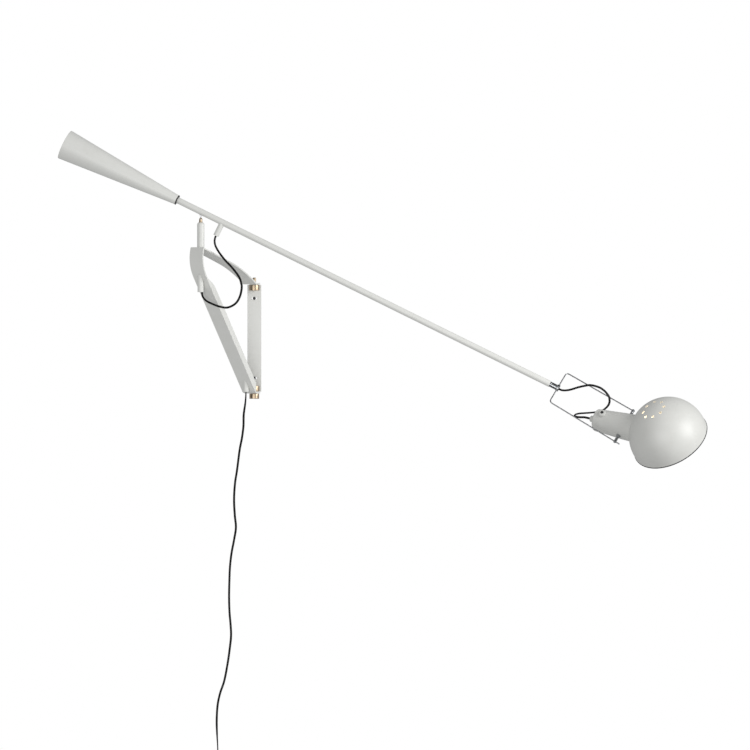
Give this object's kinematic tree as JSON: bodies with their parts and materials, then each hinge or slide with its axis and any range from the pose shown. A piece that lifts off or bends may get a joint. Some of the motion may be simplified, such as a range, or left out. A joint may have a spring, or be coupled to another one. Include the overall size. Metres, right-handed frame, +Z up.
{
  "type": "adjustable arm wall lamp",
  "caption": "Wall-mounted swing-arm reading lamp: strap bracket on a wall plate, counterbalanced tube arm, wire fork with dome shade, plug-in cord.",
  "frame": {"origin": "centre of the wall plate's back face, on the wall", "axes": "-Y out of the wall towards the room, +Y into the wall, +Z up, +X along the wall towards the shade"},
  "size_m": [1.8588, 0.5194, 1.9867],
  "materials": {
    "paint": "white satin paint on steel",
    "shade_paint": "white satin paint on spun aluminium",
    "brass": "turned, lightly aged",
    "chrome": "bright plating",
    "steel": "zinc-plated",
    "iron": "dark, oiled",
    "black_plastic": "moulded",
    "nylon": "natural",
    "flex": "black sheathed flat flex",
    "glass": "frosted, warm white"
  },
  "bodies": {
    "wall_plate": {"wall_plate": "paint", "wall_screw_upper": "iron", "wall_screw_lower": "iron", "hinge_block_upper": "brass", "hinge_block_lower": "brass", "hinge_pin_upper": "brass", "hinge_pin_lower": "brass", "cord_hank": "flex", "cord_tie": "black_plastic", "plug_lead": "flex", "plug_body": "black_plastic", "plug_pin_left": "steel", "plug_pin_right": "steel"},
    "bracket": {"bracket_strip": "paint", "strut_gland_upper": "paint", "strut_gland_lower": "paint", "strut_cable": "flex", "cable_clip_upper": "black_plastic", "cable_clip_lower": "black_plastic", "hinge_washer_upper": "nylon", "hinge_washer_lower": "nylon", "post_tube": "paint", "post_bush": "nylon", "mains_cord": "flex", "loop_cord_bracket": "flex"},
    "swivel": {"swivel_clevis": "brass", "tilt_pin": "steel"},
    "arm": {"arm_tube": "paint", "arm_gland": "paint", "arm_lug": "steel", "arm_cable": "flex", "counterweight_ring": "black_plastic", "counterweight_shell": "paint", "counterweight_core": "iron", "counterweight_cap": "paint", "counterweight_screw": "steel", "loop_cord_arm": "flex"},
    "ferrule": {"ferrule": "chrome"},
    "fork": {"wire_fork": "chrome", "standoff_pin_upper": "chrome", "standoff_pin_lower": "chrome", "head_cord_ferrule": "flex"},
    "shade": {"shade_bowl": "shade_paint", "shade_neck": "shade_paint", "rim_bead": "black_plastic", "neck_gland": "shade_paint", "holder_stem": "brass", "lamp_holder": "black_plastic", "bulb_cap": "steel", "bulb_glass": "glass", "terminal_block": "nylon", "switch_barrel": "black_plastic", "switch_collar": "shade_paint", "head_cord_neck": "flex"},
    "button": {"switch_button": "black_plastic"}
  },
  "joints": [
    {"name": "bracket_swing", "type": "hinge", "parent": "wall_plate", "child": "bracket", "pos_m": [0, -0.026, 0], "axis": [0, 0, 1], "range_deg": [-38, 121], "deforming": ["mains_cord"]},
    {"name": "arm_swivel", "type": "hinge", "parent": "bracket", "child": "swivel", "pos_m": [-0.1521, -0.19853, 0.3], "axis": [0, 0, 1], "range_deg": [-150, 70], "deforming": ["loop_cord_bracket"]},
    {"name": "arm_tilt", "type": "hinge", "parent": "swivel", "child": "arm", "pos_m": [-0.1521, -0.19853, 0.341], "axis": [0.1374, 0.9905, 0], "range_deg": [-66, 20], "deforming": ["loop_cord_arm"]},
    {"name": "ferrule_roll", "type": "hinge", "parent": "arm", "child": "ferrule", "pos_m": [0.84859, -0.33738, -0.13211], "axis": [0.8895, -0.1234, -0.4399], "range_deg": [-170, 170]},
    {"name": "fork_swing", "type": "hinge", "parent": "ferrule", "child": "fork", "pos_m": [0.87141, -0.34341, -0.14111], "axis": [0.4274, 0.565, 0.7057], "range_deg": [-100, 90], "deforming": ["head_cord_ferrule"]},
    {"name": "shade_tilt", "type": "hinge", "parent": "fork", "child": "shade", "pos_m": [1.06004, -0.3472, -0.25231], "axis": [0.4274, 0.565, 0.7057], "range_deg": [-95, 120], "deforming": ["head_cord_neck"]},
    {"name": "switch_press", "type": "slide", "parent": "shade", "child": "button", "axis": [0.1835, 0.7102, -0.6797], "range_m": [0, 0.002], "stiffness_N_per_m": 800, "springref_m": -0.0005}
  ]
}
